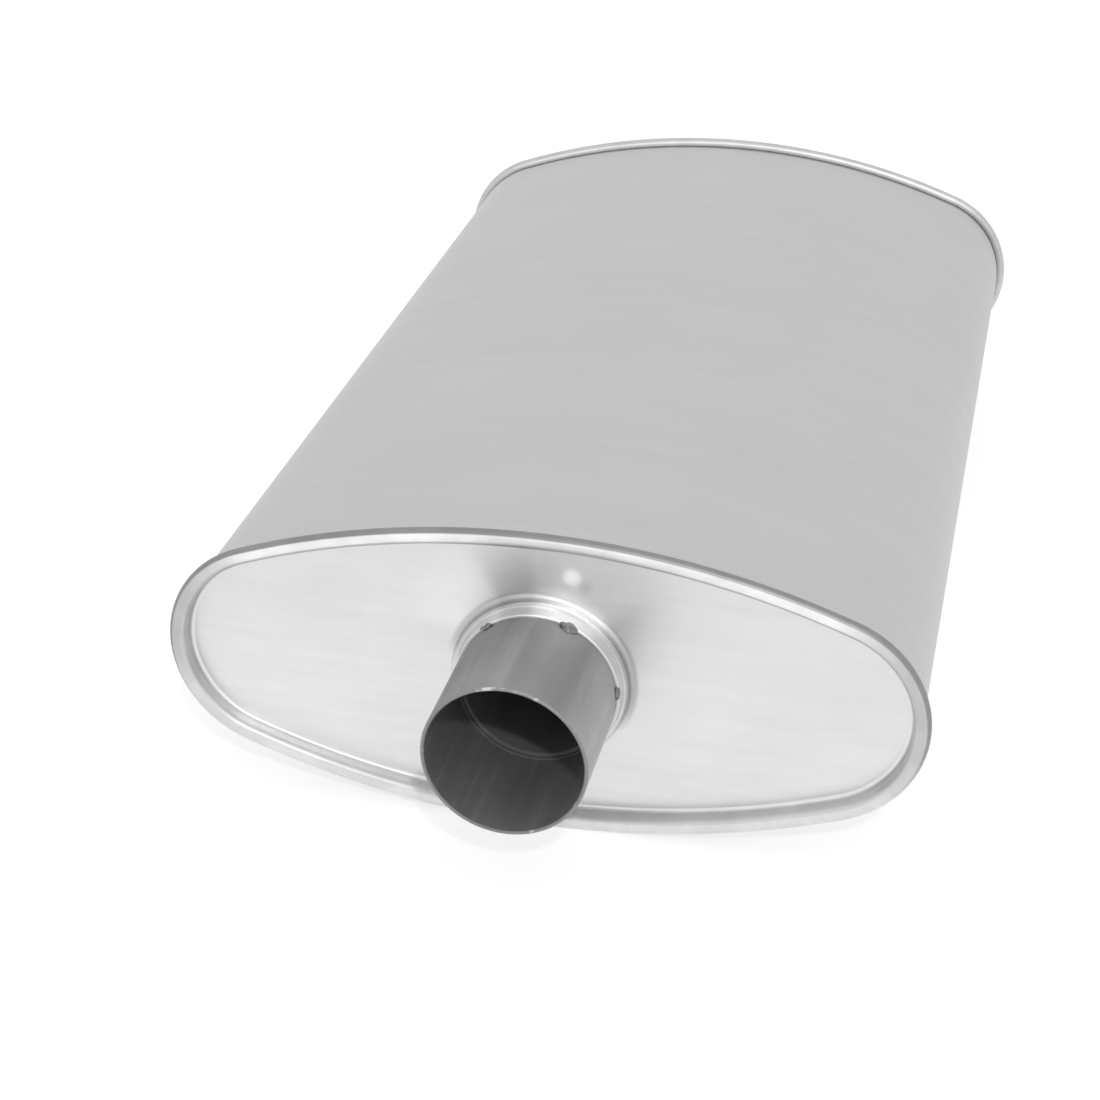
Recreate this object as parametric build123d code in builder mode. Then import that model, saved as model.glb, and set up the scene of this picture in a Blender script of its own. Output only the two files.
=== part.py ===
from build123d import *
from math import atan2, cos, degrees, hypot, radians, sin, sqrt
import os

# Oval exhaust muffler with one straight neck in the middle of each end.
# Millimetres, +Z up. The gas runs along Y: the inlet end is at -Y, the outlet end at +Y.
# The origin is the middle of the case.

# Case: the outside of the rolled sheet is an oval of four tangent arcs
case_half_width = 124.0
case_half_height = 52.0
case_end_radius = 36.0
case_length = 408.0        # over the two end seams
shell_gauge = 1.2
wrap_gauge = 0.9           # second sheet, rolled inside the first
wrap_setback = 11.0        # the second sheet stops this far behind the front of each seam
wrap_slit = 3.0            # its long edges don't quite meet
lap_width = 12.0           # the outer sheet overlaps itself along the underside
lap_setback = 7.0          # the lap stops this far behind the front of each seam

# End heads: pressed sheet, with the edge folded over the flange of the shell
head_gauge = 1.4
head_recess = 6.0          # from the front of the seam back to the flat panel
panel_bend = 1.5           # inside radius where the panel turns forward
seam_proud = 3.1           # how far the folded edge stands out from the shell
seam_gap = 0.05            # between the layers of sheet

# Collar: drawn forward out of the head, round the neck
collar_height = 7.5        # from the panel to the lip
collar_lip = 0.9           # thickness of the sheet at the lip
lip_bevel = 0.3
collar_base = 1.7          # thickness just above the bead
bead_height = 3.2          # from the panel
bead_proud = 1.4           # how far the bead stands out from the collar
bead_round = 0.6
root_round = 1.8           # between the panel and the bead
collar_back_bevel = 2.4

# Necks: the open end of each is sized, which makes it a little larger than the rest
neck_radius = 26.7         # outside of the sized end
neck_wall = 1.2
neck_reach = 46.0          # in front of the seam
neck_inside = 24.0         # behind the panel
neck_deburr = 0.35
sized_length = 42.0
sized_step = 0.3           # in radius
slip_fit = 0.1             # radial clearance between a tube and what it slides into

# Tack welds that hold each neck in its collar
tack_angles = [6.0, 67.0, 128.0, 186.0, 247.0, 308.0]
tack_width = 5.6
tack_leg = 2.1             # along the neck
tack_crown = 0.45

# Partitions and tubes inside
partition_gauge = 1.2
partition_flange = 9.0
partition_bend = 2.0
partition_pitch = 108.0    # from the middle of the case to the outer partitions
middle_partition_y = 12.0
boss_height = 4.0          # the drawn edge round each tube hole
tube_gauge = 1.2
tube_stub = 20.0           # a tube ends this far past its last partition
inlet_stop = 43.5          # from the mouth of a neck to the tube inside it
outlet_tube_length = 62.0
transfer_margin = 10.0     # from the side of the case to a transfer tube
tube_spacing = 7.5         # from a return tube to its neighbours
return_share = 0.57        # of the room left across, and the rest is the transfer tube's

# Louvre slots in the tubes
slot_length = 14.0
slot_width = 3.2
slot_pitch = 24.0
inlet_slot_count = 8       # round the tube
return_slot_count = 6
slot_end_margin = 18.0     # from a partition to the middle of the first slot

# Worked out from the sizes above. "Front" is the distance from the middle towards an end.
seam_front = case_length / 2
panel_front = seam_front - head_recess
panel_back = panel_front - head_gauge
lip_front = panel_front + collar_height
bead_front = panel_front + bead_height
neck_front = seam_front + neck_reach
neck_back = panel_back - neck_inside
neck_bore = neck_radius - neck_wall
tube_radius = neck_radius - sized_step
core_radius = neck_bore - sized_step - slip_fit
core_front = neck_front - inlet_stop
collar_bore = tube_radius + slip_fit
lip_radius = collar_bore + collar_lip
collar_radius = collar_bore + collar_base
bead_radius = collar_radius + bead_proud
root_radius = bead_radius + 2 * root_round
flange_front = seam_front - head_gauge - seam_gap
flange_back = flange_front - shell_gauge
fold_back = flange_back - seam_gap - head_gauge
fold_radius = (seam_front - fold_back) / 2
fold_centre = seam_proud - fold_radius
flange_proud = seam_proud - head_gauge - seam_gap
wall_back = -(shell_gauge + seam_gap)
wall_face = wall_back - head_gauge
partition_out = wall_back - wrap_gauge - seam_gap
tube_room = case_half_width - transfer_margin - 2 * tube_spacing - core_radius
return_radius = return_share * tube_room / 2
transfer_radius = (1 - return_share) * tube_room / 2
return_x = core_radius + tube_spacing + return_radius
transfer_x = case_half_width - transfer_margin - transfer_radius

front_y = -partition_pitch
rear_y = partition_pitch

half_straight = case_half_width - case_end_radius
crown_radius = (half_straight ** 2 + case_half_height ** 2 - case_end_radius ** 2) / (
    2 * (case_half_height - case_end_radius)
)
crown_drop = crown_radius - case_half_height
crown_angle = degrees(atan2(half_straight, crown_drop))

# Local x is to the right, local y is up and local z points to the front end
FRONT = Plane.XZ


def oval(offset, plane=Plane.XY):
    """The outline of the case, moved outwards by offset: four arcs that run into each other."""
    crown = crown_radius + offset
    end = case_end_radius + offset
    with BuildLine(plane) as outline:
        CenterArc((0, -crown_drop), crown, 90 - crown_angle, 2 * crown_angle)
        CenterArc((-half_straight, 0), end, 90 + crown_angle, 180 - 2 * crown_angle)
        CenterArc((0, crown_drop), crown, 270 - crown_angle, 2 * crown_angle)
        CenterArc((half_straight, 0), end, 270 + crown_angle, 180 - 2 * crown_angle)
    return outline


def oval_face(offset, mode=Mode.ADD):
    """Fill the outline of the case, moved outwards by offset."""
    make_face(oval(offset).edges(), mode=mode)


def rim_section():
    """Plane across the outline where two arcs meet: local x points outwards, local y to the front."""
    outwards = Vector(sin(radians(crown_angle)), 0, cos(radians(crown_angle)))
    corner = Vector(half_straight, 0, 0) + outwards * case_end_radius
    return Plane(origin=corner, x_dir=outwards, z_dir=outwards.cross(Vector(0, -1, 0)))


def turned_section(angle=0.0):
    """Plane through the Y axis: local x is the radius and local y points to the front."""
    outwards = Vector(cos(radians(angle)), 0, sin(radians(angle)))
    return Plane(origin=(0, 0, 0), x_dir=outwards, z_dir=outwards.cross(Vector(0, -1, 0)))


def bevel(radius):
    """Leg of a 45 degree bevel that touches a round corner of that radius at its middle."""
    return radius * (2 - sqrt(2))


def flange_section():
    """Draw the flange of the shell, with its outside corner bevelled in place of a tight bend."""
    corner = bevel(shell_gauge)
    with BuildLine() as outline:
        Polyline(
            (-shell_gauge, flange_back),
            (-shell_gauge, flange_front - corner),
            (corner - shell_gauge, flange_front),
            (flange_proud, flange_front),
            (flange_proud, flange_back),
            close=True,
        )
    make_face(outline.edges())


def fold_section():
    """Draw the edge of a head: panel bend, wall, front of the seam, fold and return."""
    front_bend = head_gauge + seam_gap + shell_gauge
    bend_middle = wall_face - panel_bend
    fold_middle = seam_front - fold_radius
    panel_corner = bevel(panel_bend + head_gauge)
    flange_corner = bevel(shell_gauge + seam_gap)
    with BuildLine() as outline:
        panel_arc = CenterArc((bend_middle, panel_front + panel_bend), panel_bend, 270, 90)
        front_arc = CenterArc((wall_face + front_bend, seam_front - front_bend), front_bend, 180, -90)
        fold_arc = CenterArc((fold_centre, fold_middle), fold_radius, 270, 180)
        Line(panel_arc @ 1, front_arc @ 0)
        Line(front_arc @ 1, fold_arc @ 1)
        Polyline(
            fold_arc @ 0,
            (seam_gap, fold_back),
            (seam_gap, fold_back + head_gauge),
            (flange_proud + seam_gap, fold_back + head_gauge),
            (flange_proud + seam_gap, seam_front - head_gauge),
            (wall_back + flange_corner, seam_front - head_gauge),
            (wall_back, seam_front - head_gauge - flange_corner),
            (wall_back, panel_back + panel_corner),
            (wall_back - panel_corner, panel_back),
            (bend_middle, panel_back),
            panel_arc @ 0,
        )
    make_face(outline.edges())


def make_shell():
    """Outer sheet: rolled to the oval, lapped underneath, with a flange at each end."""
    path = oval(0, FRONT).wire()
    with BuildPart() as piece:
        with BuildSketch(FRONT):
            oval_face(0)
            oval_face(-shell_gauge, mode=Mode.SUBTRACT)
        extrude(amount=flange_back, both=True)
        with BuildSketch(rim_section()):
            flange_section()
        sweep(path=path)
        mirror(about=Plane.XZ)
        with BuildSketch(FRONT):
            oval_face(shell_gauge)
            oval_face(0, mode=Mode.SUBTRACT)
            with Locations((0, -case_half_height)):
                Rectangle(lap_width, case_half_height, mode=Mode.INTERSECT)
        extrude(amount=seam_front - lap_setback, both=True)
    return piece


def make_wrap():
    """Inner sheet, rolled inside the outer one, with a slit along the underside."""
    with BuildPart() as piece:
        with BuildSketch(FRONT):
            oval_face(wall_back)
            oval_face(wall_back - wrap_gauge, mode=Mode.SUBTRACT)
            with Locations((0, -case_half_height)):
                Rectangle(wrap_slit, case_half_height, mode=Mode.SUBTRACT)
        extrude(amount=seam_front - wrap_setback, both=True)
    return piece


def collar_section():
    """Draw the section of the collar and its bead, from the lip to the flat panel."""
    with BuildLine() as outline:
        Polyline(
            (collar_bore, panel_back),
            (collar_bore, lip_front),
            (lip_radius, lip_front),
            (collar_radius, bead_front),
            (bead_radius, bead_front),
            (bead_radius, panel_front),
            (root_radius, panel_front),
            (root_radius, panel_back),
            close=True,
        )
    make_face(outline.edges())


def corner_at(sketch, radius, front):
    """Pick the corner of a section that lies at a radius and a distance to the front."""
    return min(sketch.vertices(), key=lambda v: hypot(v.X - radius, v.Y - front))


def make_head():
    """Front head: flat panel, folded edge and drawn collar in one pressed sheet."""
    path = oval(0, FRONT).wire()
    with BuildPart() as piece:
        with BuildSketch(rim_section()):
            fold_section()
        sweep(path=path)
        with BuildSketch(FRONT.offset(panel_front)):
            oval_face(wall_face - panel_bend)
            Circle(root_radius, mode=Mode.SUBTRACT)
        extrude(amount=-head_gauge)
        with BuildSketch(turned_section()) as collar:
            collar_section()
            fillet(corner_at(collar, bead_radius, panel_front), root_round)
            fillet(corner_at(collar, bead_radius, bead_front), bead_round)
            chamfer(corner_at(collar, collar_bore, panel_back), collar_back_bevel)
            chamfer(corner_at(collar, lip_radius, lip_front), lip_bevel)
        revolve(axis=Axis.Y)
    return piece


def make_neck():
    """Front neck: a tube through the collar, sized at its open end, with the burr taken off."""
    sized_back = neck_front - sized_length
    with BuildPart() as piece:
        with BuildSketch(turned_section()) as section:
            with BuildLine() as outline:
                Polyline(
                    (tube_radius - neck_wall, neck_back),
                    (tube_radius, neck_back),
                    (tube_radius, sized_back - sized_step),
                    (neck_radius, sized_back),
                    (neck_radius, neck_front),
                    (neck_bore, neck_front),
                    (neck_bore, sized_back),
                    (tube_radius - neck_wall, sized_back - sized_step),
                    close=True,
                )
            make_face(outline.edges())
            chamfer(corner_at(section, neck_radius, neck_front), neck_deburr)
            chamfer(corner_at(section, neck_bore, neck_front), neck_deburr)
        revolve(axis=Axis.Y)
    return piece


def make_tack(angle):
    """Front tack weld: a short bead between the lip of the collar and the neck."""
    sweep_angle = degrees(tack_width / neck_radius)
    with BuildPart() as piece:
        with BuildSketch(turned_section(angle + sweep_angle / 2)):
            with BuildLine():
                leg = Line((tube_radius, lip_front), (tube_radius, lip_front + tack_leg))
                toe = Line((tube_radius, lip_front), (lip_radius - lip_bevel, lip_front))
                middle = (leg @ 1 + toe @ 1) / 2
                ThreePointArc(leg @ 1, middle + Vector(tack_crown, tack_crown), toe @ 1)
            make_face()
        revolve(axis=Axis.Y, revolution_arc=sweep_angle)
    return piece


def make_partition(y, holes):
    """Partition: an oval plate with a flange to the rear and a drawn edge at each hole."""
    plate = FRONT.offset(-y)
    with BuildPart() as piece:
        with BuildSketch(plate):
            oval_face(partition_out)
        extrude(amount=-partition_flange)
        rim = piece.faces().sort_by(Axis.Y)[0].edges()
        chamfer(rim, bevel(partition_bend + partition_gauge))
        offset(amount=-partition_gauge, openings=piece.faces().sort_by(Axis.Y)[-1])
        with BuildSketch(plate.offset(-partition_gauge)):
            for x, radius in holes:
                with Locations((x, 0)):
                    Circle(radius + slip_fit + partition_gauge)
        extrude(amount=-boss_height)
        with BuildSketch(plate):
            for x, radius in holes:
                with Locations((x, 0)):
                    Circle(radius + slip_fit)
        extrude(amount=-(partition_gauge + boss_height), mode=Mode.SUBTRACT)
    return piece


def slot_planes(x, radius, slot_count):
    """Planes on the tube's wall for rings of slots in the second chamber, each ring half a step on."""
    first = front_y + partition_gauge + slot_end_margin
    last = middle_partition_y - slot_end_margin
    planes = []
    for ring in range(int((last - first) // slot_pitch) + 1):
        for step in range(slot_count):
            turn = radians(360 / slot_count * (step + (ring % 2) / 2))
            outwards = Vector(cos(turn), 0, sin(turn))
            middle = Vector(x, first + ring * slot_pitch, 0) + outwards * radius
            planes.append(Plane(origin=middle, x_dir=(0, 1, 0), z_dir=outwards))
    return planes


def make_tube(x, radius, front, back, slot_count=0):
    """Tube from front to back, both of them Y positions, with louvre slots if it has any."""
    with BuildPart() as piece:
        with BuildSketch(FRONT.offset(-front)):
            with Locations((x, 0)):
                Circle(radius)
                Circle(radius - tube_gauge, mode=Mode.SUBTRACT)
        extrude(amount=-(back - front))
        if slot_count:
            with BuildSketch(*slot_planes(x, radius, slot_count)):
                Rectangle(slot_length, slot_width)
            extrude(amount=2 * tube_gauge, both=True, mode=Mode.SUBTRACT)
    return piece


def mirrored(source):
    """The same piece at the rear end."""
    with BuildPart() as piece:
        mirror(source.part, about=Plane.XZ)
    return piece


centre_hole = (0.0, core_radius)
return_holes = [(-return_x, return_radius), (return_x, return_radius)]
transfer_holes = [(-transfer_x, transfer_radius), (transfer_x, transfer_radius)]

pieces = {
    "outer_shell": make_shell(),
    "inner_wrap": make_wrap(),
    "front_head": make_head(),
    "front_neck": make_neck(),
    "front_partition": make_partition(front_y, [centre_hole] + return_holes + transfer_holes),
    "middle_partition": make_partition(middle_partition_y, [centre_hole] + return_holes + transfer_holes),
    "rear_partition": make_partition(rear_y, transfer_holes),
    "inlet_tube": make_tube(0, core_radius, -core_front, middle_partition_y + tube_stub, inlet_slot_count),
    "outlet_tube": make_tube(0, core_radius, core_front - outlet_tube_length, core_front),
}
pieces["rear_head"] = mirrored(pieces["front_head"])
pieces["rear_neck"] = mirrored(pieces["front_neck"])
front_end = front_y - tube_stub
for side, sign in (("left", -1), ("right", 1)):
    pieces[f"{side}_return_tube"] = make_tube(
        sign * return_x, return_radius, front_end, middle_partition_y + tube_stub, return_slot_count
    )
    pieces[f"{side}_transfer_tube"] = make_tube(
        sign * transfer_x, transfer_radius, front_end, rear_y + tube_stub
    )
for number, angle in enumerate(tack_angles, start=1):
    tack = make_tack(angle)
    pieces[f"front_tack_{number}"] = tack
    pieces[f"rear_tack_{number}"] = mirrored(tack)

os.makedirs("parts", exist_ok=True)
for name, piece in pieces.items():
    piece.part.label = name
    export_step(piece.part, f"parts/{name}.step")
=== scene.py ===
import math

import bmesh
import bpy
from mathutils import Matrix, Vector, noise


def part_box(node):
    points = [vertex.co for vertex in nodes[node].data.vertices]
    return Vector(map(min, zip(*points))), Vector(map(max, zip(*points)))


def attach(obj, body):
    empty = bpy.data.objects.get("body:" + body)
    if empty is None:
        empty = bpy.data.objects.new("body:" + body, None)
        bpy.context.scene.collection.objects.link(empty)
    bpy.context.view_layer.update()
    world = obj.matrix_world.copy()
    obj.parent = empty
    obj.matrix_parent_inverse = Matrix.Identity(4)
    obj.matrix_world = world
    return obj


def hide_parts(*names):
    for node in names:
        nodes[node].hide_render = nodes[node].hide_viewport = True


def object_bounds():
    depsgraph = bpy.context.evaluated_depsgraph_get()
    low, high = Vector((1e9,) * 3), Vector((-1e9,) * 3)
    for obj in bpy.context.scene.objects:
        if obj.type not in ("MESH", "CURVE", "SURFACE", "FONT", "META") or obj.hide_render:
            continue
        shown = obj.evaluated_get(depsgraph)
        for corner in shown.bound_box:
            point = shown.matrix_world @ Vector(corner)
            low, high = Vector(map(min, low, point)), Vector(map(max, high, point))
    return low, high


# Looks of an oval exhaust muffler. Metres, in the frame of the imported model: +Y along the
# muffler, +Z up, and the near end of the photograph at -Y.

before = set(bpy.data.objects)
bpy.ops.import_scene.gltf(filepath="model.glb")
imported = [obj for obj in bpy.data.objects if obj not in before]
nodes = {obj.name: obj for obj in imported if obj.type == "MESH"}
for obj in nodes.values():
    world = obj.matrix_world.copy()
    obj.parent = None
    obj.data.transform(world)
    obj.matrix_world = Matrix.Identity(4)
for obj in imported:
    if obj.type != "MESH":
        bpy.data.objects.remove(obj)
cad_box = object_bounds()

# Camera, fitted to the outlines of the case and the neck in the photograph
CAMERA_PLACE = Vector((0.14444, -0.83166, 0.39559))
CAMERA_TARGET = Vector((-0.03543, -0.0297, -0.04483))
CAMERA_ROLL = math.radians(0.66)
CAMERA_LENS = 76.02
SENSOR = 36.0

# Light and floor
SKY_LEVEL = 0.75
KEY_DIRECTION = Vector((0.228, -0.713, 0.661))
KEY_DISTANCE = 2.2
KEY_SIZE = 0.08
KEY_POWER = 9.5
FLOOR_SIZE = 12.0
FLOOR_COLOUR = 0.55
FLOOR_LIFT = 0.62

# Sizes that the pieces are fitted to, read from the frame
NECK_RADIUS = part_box("front_neck")[1].x
NECK_MOUTH = -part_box("front_neck")[0].y
NECK_WALL = 0.0012
CORE_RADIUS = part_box("inlet_tube")[1].x
COLLAR_LIP = -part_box("front_tack_1")[1].y
FOLD_DEPTH = 0.00265
FOLD_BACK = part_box("outer_shell")[1].y - FOLD_DEPTH
COLLAR_HEIGHT = 0.0075
PANEL_FRONT = COLLAR_LIP - COLLAR_HEIGHT
FORMED_FROM = PANEL_FRONT + 0.0002
FORMED_TO = PANEL_FRONT + 0.0008
RIM_INSIDE = 0.045
TACKS = sorted(name for name in nodes if "_tack_" in name)

# Tubes: the dull bore, its lighter streaks, and the cut edge with brighter nicks
BORE_METAL = 0.15
BORE_ROUGHER = 0.15
BORE_STREAK = 0.25
EDGE_LEVEL = 0.31
EDGE_NICK = 0.66

# Tack welds: half sizes round the neck, along it and out from it
TACK_HALF = Vector((0.0021, 0.0016, 0.0009))
LARGE_TACK = 1.35
TACK_LUMPS = 0.0004
TACK_GRAIN = 420.0

# Painted reflections: soft lighter and darker lobes round the collar's foot, on its bead and lip, and
# on the neck, given as angle from +X towards +Z, how sharp it is, and its strength
FOOT_PAINTED_REFLECTIONS = ((106, 0.965, -0.24), (138, 0.92, 0.12), (34, 0.93, -0.02), (66, 0.90, 0.28))
FOOT_FROM = 0.034
FOOT_TO = 0.060
BEAD_PAINTED_REFLECTIONS = ((138, 0.80, -0.38), (8, 0.70, -0.42), (80, 0.80, -0.06))
LIP_PAINTED_REFLECTIONS = ((102, 0.86, 0.28), (66, 0.90, -0.12), (138, 0.84, -0.14))
BEAD_FROM = (0.0284, 0.0292)
BEAD_TO = (0.0308, 0.0330)
# Painted reflections on the neck, lighter towards its right side
NECK_PAINTED_REFLECTIONS = ((98, 0.985, 0.12), (12, 0.70, 0.34), (-22, 0.90, 0.20), (150, 0.80, -0.06))

# Painted shading: the panel is a little paler towards the bottom
PANEL_LOW_LEVEL = 1.05
PANEL_HIGH_LEVEL = 0.98
PANEL_LOW = -0.035
PANEL_HIGH = 0.030

# The folded edge, all painted light: a slightly lighter back, painted shade in the crease on the
# shell behind it, a painted dark band on the rounding that fades underneath, painted shade on the
# wall inside it, and a painted highlight on the upper face, with painted shade on the bends at both
# sides
FOLD_BACK_LEVEL = 1.02
BACK_FROM = -0.95
BACK_TO = -0.5
CREASE_PAINTED_SHADE = 0.26
CREASE_WIDTH = 0.0042
ROLLED_LEVEL = 0.41
FAR_ROLLED_LEVEL = 0.78
WALL_LEVEL = 0.80
ROLLED_FROM = 0.86
ROLLED_TO = 0.97
ROLLED_LOW = -0.035
RIM_LEVEL = 1.20
LOW_RIM_LEVEL = 0.94
RIM_MOTTLE = 0.08
BEND_LEVEL = 0.60
LOW_BEND_LEVEL = 0.92
BEND_FROM = 0.092
BEND_TO = 0.122

COLLAR_ROUGHER = 0.18
RIM_ROUGHER = 0.09

# The near panel's painted marks: a painted highlight above the collar and a painted dark spot beside
# it, given as place across and up, size and strength
PAINTED_SPOTS = ((0.0096, 0.0386, 0.0042, 0.38), (0.0140, 0.0354, 0.0040, -0.08))
SPOT_ROUGHER = 0.28


def new_material(name):
    """A material with its node tree emptied but for a shader and its output."""
    material = bpy.data.materials.new(name)
    material.use_nodes = True
    tree = material.node_tree
    tree.nodes.clear()
    output = tree.nodes.new("ShaderNodeOutputMaterial")
    shader = tree.nodes.new("ShaderNodeBsdfPrincipled")
    tree.links.new(shader.outputs[0], output.inputs["Surface"])
    return material, tree, shader


def node(tree, kind, **values):
    """A node of that kind, with its properties and its input sockets set by name."""
    made = tree.nodes.new(kind)
    for key, value in values.items():
        if key in made.inputs:
            made.inputs[key].default_value = value
        else:
            setattr(made, key, value)
    return made


def place(tree):
    """The object coordinates, which are the part's own frame."""
    return tree.nodes.new("ShaderNodeTexCoord").outputs["Object"]


def stretched(tree, scale):
    """Object coordinates, scaled by three factors."""
    mapping = node(tree, "ShaderNodeMapping")
    mapping.inputs["Scale"].default_value = scale
    tree.links.new(place(tree), mapping.inputs["Vector"])
    return mapping.outputs["Vector"]


def grain(tree, vector, scale, detail=4.0, roughness=0.55):
    """Noise between 0 and 1 at a place."""
    made = node(tree, "ShaderNodeTexNoise", Scale=scale, Detail=detail, Roughness=roughness)
    tree.links.new(vector, made.inputs["Vector"])
    return made.outputs["Fac"]


def spread(tree, value, low, high, start=0.3, stop=0.7, smooth=False):
    """A value between start and stop, mapped to low and high."""
    made = node(tree, "ShaderNodeMapRange")
    if smooth:
        made.interpolation_type = "SMOOTHSTEP"
    made.inputs["From Min"].default_value = start
    made.inputs["From Max"].default_value = stop
    made.inputs["To Min"].default_value = low
    made.inputs["To Max"].default_value = high
    tree.links.new(value, made.inputs["Value"])
    return made.outputs["Result"]


def combine(tree, first, second, operation="MULTIPLY"):
    """Two values or sockets, multiplied or joined by another operation."""
    made = node(tree, "ShaderNodeMath", operation=operation)
    for socket, value in zip(made.inputs, (first, second)):
        if isinstance(value, (int, float)):
            socket.default_value = value
        else:
            tree.links.new(value, socket)
    return made.outputs[0]


def mixed(tree, share, low, high):
    """A blend from low to high by a share between 0 and 1."""
    rise = combine(tree, share, combine(tree, high, low, "SUBTRACT"))
    return combine(tree, rise, low, "ADD")


def grey(tree, value):
    """A value as a grey colour."""
    made = node(tree, "ShaderNodeCombineColor")
    for socket in ("Red", "Green", "Blue"):
        tree.links.new(value, made.inputs[socket])
    return made.outputs["Color"]


def bump(tree, shader, height, strength, distance):
    """Bump on the shader from a height."""
    made = node(tree, "ShaderNodeBump", Strength=strength, Distance=distance)
    tree.links.new(height, made.inputs["Height"])
    tree.links.new(made.outputs["Normal"], shader.inputs["Normal"])


def axis_parts(tree):
    """Across, along and up parts of a place, and its distance from the muffler's long axis."""
    parts = tree.nodes.new("ShaderNodeSeparateXYZ")
    tree.links.new(place(tree), parts.inputs["Vector"])
    across, along, up = (parts.outputs[key] for key in "XYZ")
    square = combine(tree, combine(tree, across, across), combine(tree, up, up), "ADD")
    return across, along, up, combine(tree, square, 0.5, "POWER")


def painted_lobes(tree, places, reach=1.0):
    """A factor for painted reflections: lighter and darker lobes at angles round the muffler's long
    axis.
    """
    across, along, up, radius = axis_parts(tree)
    total = 1.0
    for degrees, sharpness, strength in places:
        angle = math.radians(degrees)
        towards = combine(
            tree, combine(tree, across, math.cos(angle)), combine(tree, up, math.sin(angle)), "ADD"
        )
        share = combine(tree, towards, radius, "DIVIDE")
        lobe = spread(tree, share, 0, strength, sharpness, 1, smooth=True)
        total = combine(tree, combine(tree, lobe, reach), total, "ADD")
    return total


def collar_painted_reflections(tree):
    """A factor for painted reflections, lighter and darker, on the collar and round its foot."""
    radius = axis_parts(tree)[3]
    foot = spread(tree, radius, 1, 0, FOOT_FROM, FOOT_TO, smooth=True)
    outer = spread(tree, radius, 0, 1, *BEAD_FROM, smooth=True)
    bead = combine(tree, outer, spread(tree, radius, 1, 0, *BEAD_TO, smooth=True))
    lip = combine(tree, 1, outer, "SUBTRACT")
    turned = combine(tree, painted_lobes(tree, LIP_PAINTED_REFLECTIONS, lip), painted_lobes(tree, BEAD_PAINTED_REFLECTIONS, bead))
    return combine(tree, painted_lobes(tree, FOOT_PAINTED_REFLECTIONS, foot), turned)


def painted_spots(tree):
    """A factor for the painted highlight spot and the painted dark spot beside it."""
    across, along, up, radius = axis_parts(tree)
    near = combine(tree, along, 0, "LESS_THAN")
    total = 1.0
    for place_across, place_up, size, strength in PAINTED_SPOTS:
        aside = combine(tree, across, place_across, "SUBTRACT")
        above = combine(tree, up, place_up, "SUBTRACT")
        square = combine(tree, combine(tree, aside, aside), combine(tree, above, above), "ADD")
        away = combine(tree, square, 0.5, "POWER")
        mark = spread(tree, away, strength, 0, 0, size, smooth=True)
        total = combine(tree, combine(tree, mark, near), total, "ADD")
    return total


def formed(tree):
    """1 on what stands in front of the flat panel, the rim and the collar, and 0 elsewhere."""
    reach = combine(tree, axis_parts(tree)[1], 0, "ABSOLUTE")
    return spread(tree, reach, 0, 1, FORMED_FROM, FORMED_TO, smooth=True)


def fold_painted_light(tree):
    """Painted light on the folded edge: its back, a painted highlight on its face, painted shade on
    its inner wall, bends and rounded band, and a random mottle.
    """
    across, along, up, radius = axis_parts(tree)
    normal = tree.nodes.new("ShaderNodeSeparateXYZ")
    facing = tree.nodes.new("ShaderNodeNewGeometry").outputs["Normal"]
    tree.links.new(facing, normal.inputs["Vector"])
    outwards = combine(tree, normal.outputs["Y"], combine(tree, along, 0, "SIGN"))
    back = spread(tree, outwards, FOLD_BACK_LEVEL, 1, BACK_FROM, BACK_TO, smooth=True)
    squarely = combine(tree, outwards, 0, "ABSOLUTE")
    sideways = spread(tree, squarely, 1, 0, ROLLED_FROM, ROLLED_TO, smooth=True)
    away = combine(
        tree,
        combine(tree, normal.outputs["X"], across),
        combine(tree, normal.outputs["Z"], up),
        "ADD",
    )
    outside = combine(tree, away, 0, "GREATER_THAN")
    high = spread(tree, up, 0, 1, ROLLED_LOW, 0, smooth=True)
    far = combine(tree, along, 0, "GREATER_THAN")
    rolled = mixed(tree, high, 1.0, mixed(tree, far, ROLLED_LEVEL, FAR_ROLLED_LEVEL))
    flank = combine(tree, across, 0, "ABSOLUTE")
    bend_level = mixed(tree, high, LOW_BEND_LEVEL, BEND_LEVEL)
    bend = mixed(tree, spread(tree, flank, 0, 1, BEND_FROM, BEND_TO, smooth=True), 1.0, bend_level)
    face = combine(tree, mixed(tree, high, LOW_RIM_LEVEL, RIM_LEVEL), bend)
    band = mixed(tree, sideways, face, mixed(tree, outside, WALL_LEVEL, rolled))
    mottle = grain(tree, stretched(tree, (1, 1, 1)), 70.0, 3.0, 0.6)
    band = combine(tree, band, spread(tree, mottle, 1 - RIM_MOTTLE, 1 + RIM_MOTTLE))
    on_rim = combine(tree, combine(tree, radius, RIM_INSIDE, "GREATER_THAN"), formed(tree))
    return combine(tree, back, mixed(tree, on_rim, 1.0, band))


def crease_shade(tree):
    """A factor for painted shade on the shell in the crease beside the folded edges."""
    reach = combine(tree, axis_parts(tree)[1], 0, "ABSOLUTE")
    return spread(tree, reach, 1, CREASE_PAINTED_SHADE, FOLD_BACK - CREASE_WIDTH, FOLD_BACK, smooth=True)


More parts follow.
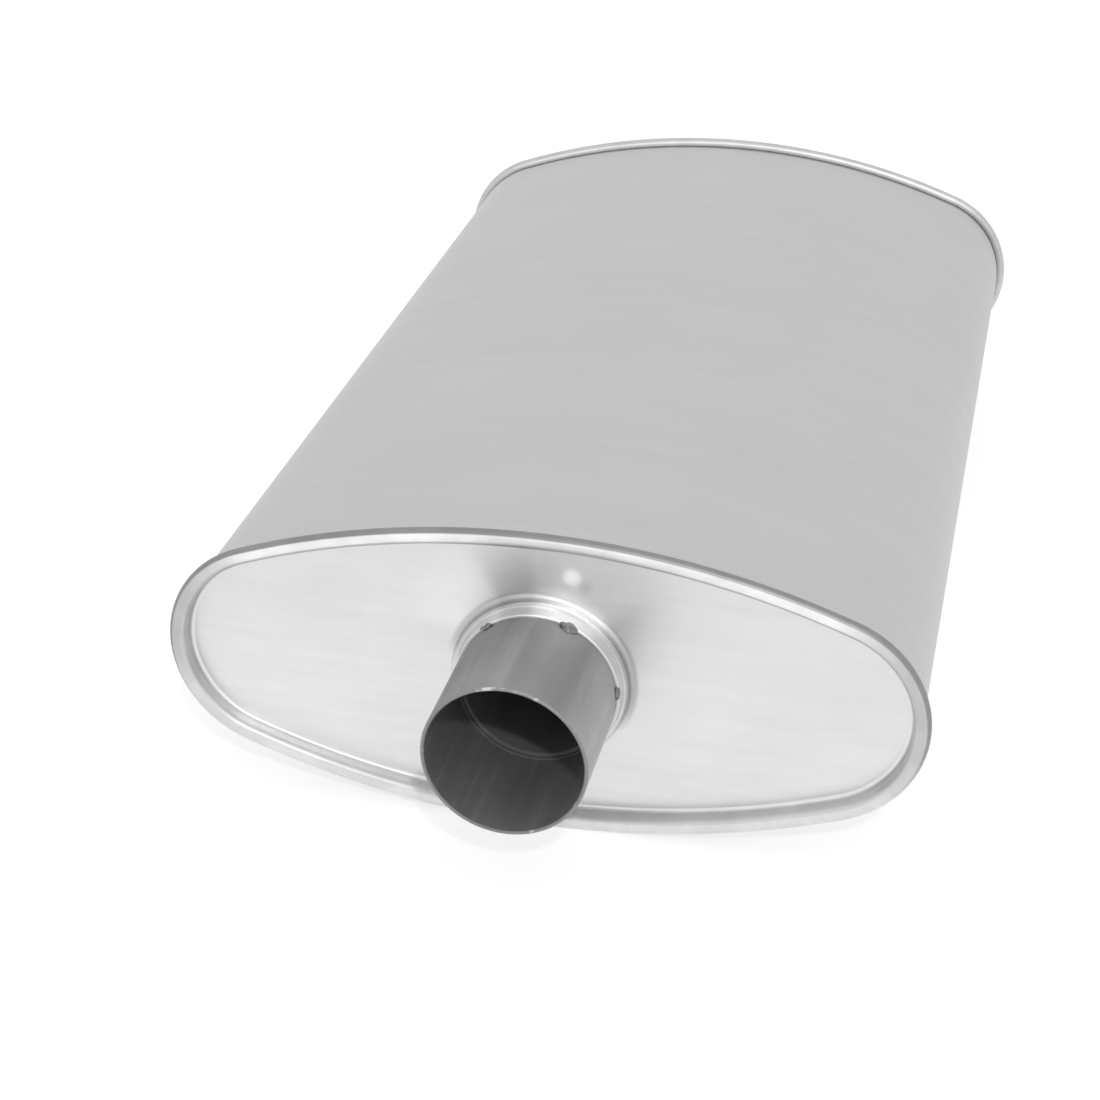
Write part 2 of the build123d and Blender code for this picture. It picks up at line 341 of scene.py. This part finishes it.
def sheet_material(name, level, streak_scale, streak, mottle, roughness, head=False, shell=False):
    """Aluminium-coated sheet: satin, with fine rolling streaks and faint cloudy patches."""
    material, tree, shader = new_material(name)
    shader.inputs["Metallic"].default_value = 1.0
    streaks = grain(tree, stretched(tree, streak_scale), 1.0, 6.0, 0.65)
    clouds = grain(tree, stretched(tree, (1, 1, 1)), 24.0, 4.0, 0.6)
    fine = grain(tree, stretched(tree, (1, 1, 1)), 900.0, 2.0, 0.6)
    colour = combine(
        tree,
        spread(tree, streaks, level * (1 - streak), level * (1 + streak)),
        spread(tree, clouds, 1 - mottle, 1 + mottle),
    )
    if head:
        # painted highlight and dark spot, painted reflections round the collar, and painted light on
        # the folded edge
        colour = combine(tree, combine(tree, colour, painted_spots(tree)), collar_painted_reflections(tree))
        colour = combine(tree, colour, fold_painted_light(tree))
        # painted shading: the panel is paler towards the bottom
        up = axis_parts(tree)[2]
        levels = (PANEL_LOW_LEVEL, PANEL_HIGH_LEVEL)
        painted_panel_shading = spread(tree, up, *levels, PANEL_LOW, PANEL_HIGH, smooth=True)
        colour = combine(tree, colour, painted_panel_shading)
    if shell:
        # painted shade in the creases beside the folded edges
        colour = combine(tree, colour, crease_shade(tree))
    tree.links.new(grey(tree, colour), shader.inputs["Base Color"])
    rough = spread(tree, clouds, roughness - 0.04, roughness + 0.04)
    if head:
        rim = combine(tree, axis_parts(tree)[3], RIM_INSIDE, "GREATER_THAN")
        change = combine(tree, formed(tree), mixed(tree, rim, COLLAR_ROUGHER, RIM_ROUGHER))
        rough = combine(tree, rough, change, "ADD")
        marks = combine(tree, painted_spots(tree), 1, "SUBTRACT")
        spot_roughness = combine(tree, marks, SPOT_ROUGHER / PAINTED_SPOTS[0][3])
        rough = combine(tree, rough, spot_roughness, "ADD")
    tree.links.new(rough, shader.inputs["Roughness"])
    height = combine(tree, combine(tree, fine, 0.5), streaks, "ADD")
    bump(tree, shader, height, 0.12, 0.00006)
    return material


def tube_material(name, level, bore_level, roughness, wall_middle, painted_reflections=()):
    """Drawn tube: darker steel with streaks along it, a dull oxidised bore and a cut edge."""
    material, tree, shader = new_material(name)
    shader.inputs["Specular IOR Level"].default_value = 0.15
    across, along, up, radius = axis_parts(tree)
    streaks = grain(tree, stretched(tree, (160, 9, 160)), 1.0, 5.0, 0.6)
    bands = grain(tree, stretched(tree, (60, 2, 60)), 1.0, 2.0, 0.5)
    clouds = grain(tree, stretched(tree, (1, 0.5, 1)), 60.0, 3.0, 0.5)
    fine = grain(tree, stretched(tree, (1, 1, 1)), 1400.0, 2.0, 0.6)
    within = combine(tree, radius, wall_middle, "LESS_THAN")
    # painted reflections: lighter and darker lobes round the outside of the tube
    outer = combine(tree, painted_lobes(tree, painted_reflections), level)
    base = mixed(tree, within, outer, bore_level)
    for pattern, share in ((streaks, 0.09), (bands, 0.10), (clouds, 0.11)):
        base = combine(tree, base, spread(tree, pattern, 1 - share, 1 + share))
    bore_streaks = grain(tree, stretched(tree, (230, 5, 230)), 1.0, 3.0, 0.5)
    lighter = spread(tree, bore_streaks, 0, BORE_STREAK, 0.55, 0.72, smooth=True)
    base = combine(tree, base, combine(tree, combine(tree, lighter, within), 1, "ADD"))
    reach = combine(tree, along, 0, "ABSOLUTE")
    edge = spread(tree, reach, 0, 1, NECK_MOUTH - 0.0006, NECK_MOUTH - 0.0003)
    nicks = grain(tree, stretched(tree, (1, 1, 1)), 130.0, 2.0, 0.5)
    edge_level = spread(tree, nicks, EDGE_LEVEL, EDGE_NICK, 0.61, 0.70, smooth=True)
    tree.links.new(grey(tree, mixed(tree, edge, base, edge_level)), shader.inputs["Base Color"])
    dull = combine(tree, within, combine(tree, 1, edge, "SUBTRACT"))
    tree.links.new(mixed(tree, dull, 1.0, BORE_METAL), shader.inputs["Metallic"])
    rough = spread(tree, clouds, roughness - 0.05, roughness + 0.05)
    rough = combine(tree, rough, combine(tree, within, BORE_ROUGHER), "ADD")
    tree.links.new(rough, shader.inputs["Roughness"])
    height = combine(tree, combine(tree, fine, 0.4), streaks, "ADD")
    bump(tree, shader, height, 0.2, 0.00006)
    return material


def weld_material():
    """Burnt weld metal: dark, rough and pitted, with paler spots."""
    material, tree, shader = new_material("weld")
    shader.inputs["Metallic"].default_value = 0.9
    clouds = grain(tree, stretched(tree, (1, 1, 1)), 600.0, 4.0, 0.6)
    tree.links.new(grey(tree, spread(tree, clouds, 0.16, 0.36)), shader.inputs["Base Color"])
    shader.inputs["Roughness"].default_value = 0.55
    bump(tree, shader, clouds, 0.35, 0.0003)
    return material


def dress(names, material):
    """Give CAD nodes a material."""
    for name in names:
        mesh = nodes[name].data
        mesh.materials.clear()
        mesh.materials.append(material)


def add_tack(name, material):
    """A lumpy bead of weld over the lip of the collar, in place of a plain CAD tack."""
    low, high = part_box(name)
    middle = (low + high) / 2
    angle = math.atan2(middle.z, middle.x)
    end = math.copysign(1, middle.y)
    out = Vector((math.cos(angle), 0, math.sin(angle)))
    round_neck = Vector((-math.sin(angle), 0, math.cos(angle)))
    along = Vector((0, end, 0))
    size = TACK_HALF * (LARGE_TACK if name.endswith("_2") else 1.0)
    centre = out * (NECK_RADIUS + 0.0001) + along * (COLLAR_LIP + 0.0004)
    mesh = bpy.data.meshes.new(name + "_bead")
    shape = bmesh.new()
    bmesh.ops.create_icosphere(shape, subdivisions=4, radius=1)
    for vertex in shape.verts:
        seed = vertex.co * 1.3 + middle * TACK_GRAIN
        push = 1 + TACK_LUMPS / size.z * noise.noise(seed)
        vertex.co = (
            centre
            + round_neck * vertex.co.x * size.x * push
            + along * vertex.co.y * size.y * push
            + out * vertex.co.z * size.z * push
        )
    for face in shape.faces:
        face.smooth = True
    bmesh.ops.recalc_face_normals(shape, faces=shape.faces)
    shape.to_mesh(mesh)
    shape.free()
    mesh.materials.append(material)
    bead = bpy.data.objects.new(name + "_bead", mesh)
    bpy.context.scene.collection.objects.link(bead)
    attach(bead, "root")
    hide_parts(name)


def add_camera():
    """The photograph's view."""
    data = bpy.data.cameras.new("camera")
    data.lens = CAMERA_LENS
    data.sensor_width = SENSOR
    data.clip_end = 50
    camera = bpy.data.objects.new("camera", data)
    bpy.context.scene.collection.objects.link(camera)
    look = (CAMERA_TARGET - CAMERA_PLACE).to_track_quat("-Z", "Y").to_matrix().to_4x4()
    roll = Matrix.Rotation(CAMERA_ROLL, 4, "Z")
    camera.matrix_world = Matrix.Translation(CAMERA_PLACE) @ look @ roll
    bpy.context.scene.camera = camera


def seen_or_mirrored(tree):
    """1 for rays from the camera and for reflected or refracted ones, and 0 for the rest."""
    path = tree.nodes.new("ShaderNodeLightPath")
    direct = combine(tree, path.outputs["Is Camera Ray"], path.outputs["Is Glossy Ray"], "MAXIMUM")
    return combine(tree, direct, path.outputs["Is Transmission Ray"], "MAXIMUM")


def add_floor():
    """Pale floor: it keeps the shadow, and shows white to the camera and in reflections."""
    bpy.ops.mesh.primitive_plane_add(size=FLOOR_SIZE, location=(0, 0, cad_box[0].z))
    floor = bpy.context.object
    floor.name = "floor"
    material = bpy.data.materials.new("floor")
    material.use_nodes = True
    tree = material.node_tree
    tree.nodes.clear()
    output = tree.nodes.new("ShaderNodeOutputMaterial")
    diffuse = node(tree, "ShaderNodeBsdfDiffuse")
    diffuse.inputs["Color"].default_value = (FLOOR_COLOUR,) * 3 + (1,)
    lift = node(tree, "ShaderNodeEmission")
    tree.links.new(combine(tree, seen_or_mirrored(tree), FLOOR_LIFT), lift.inputs["Strength"])
    both = tree.nodes.new("ShaderNodeAddShader")
    tree.links.new(diffuse.outputs[0], both.inputs[0])
    tree.links.new(lift.outputs[0], both.inputs[1])
    tree.links.new(both.outputs[0], output.inputs["Surface"])
    floor.data.materials.append(material)


def add_light():
    """An even sky, white where it is seen, and one lamp above and in front, a little to the right."""
    world = bpy.data.worlds.new("sky")
    world.use_nodes = True
    tree = world.node_tree
    background = tree.nodes["Background"]
    background.inputs["Color"].default_value = (1, 1, 1, 1)
    level = mixed(tree, seen_or_mirrored(tree), SKY_LEVEL, 1.0)
    tree.links.new(level, background.inputs["Strength"])
    bpy.context.scene.world = world
    data = bpy.data.lights.new("key", "AREA")
    data.size = KEY_SIZE
    data.energy = KEY_POWER
    lamp = bpy.data.objects.new("key", data)
    bpy.context.scene.collection.objects.link(lamp)
    direction = KEY_DIRECTION.normalized()
    lamp.location = Vector((0, -0.2, 0)) + direction * KEY_DISTANCE
    lamp.rotation_mode = "QUATERNION"
    lamp.rotation_quaternion = (-direction).to_track_quat("-Z", "Y")


shell_steel = sheet_material("shell_steel", 0.58, (12, 260, 12), 0.02, 0.025, 0.64, shell=True)
head_steel = sheet_material("head_steel", 0.73, (14, 14, 220), 0.03, 0.045, 0.38, head=True)
neck_steel = tube_material("neck_steel", 0.345, 0.19, 0.60, NECK_RADIUS - NECK_WALL / 2, NECK_PAINTED_REFLECTIONS)
core_steel = tube_material("core_steel", 0.30, 0.22, 0.55, CORE_RADIUS + 0.0005)
plain_steel = sheet_material("plain_steel", 0.45, (30, 30, 200), 0.04, 0.04, 0.5)
weld = weld_material()

dress(["outer_shell"], shell_steel)
dress(["front_head", "rear_head"], head_steel)
dress(["front_neck", "rear_neck"], neck_steel)
dress(["inner_wrap", "front_partition", "middle_partition", "rear_partition"], plain_steel)
dress([name for name in nodes if name.endswith("_tube")], core_steel)
dress(TACKS, weld)
for tack in TACKS:
    add_tack(tack, weld)

add_camera()
add_floor()
add_light()

bpy.context.scene.view_settings.view_transform = "Standard"
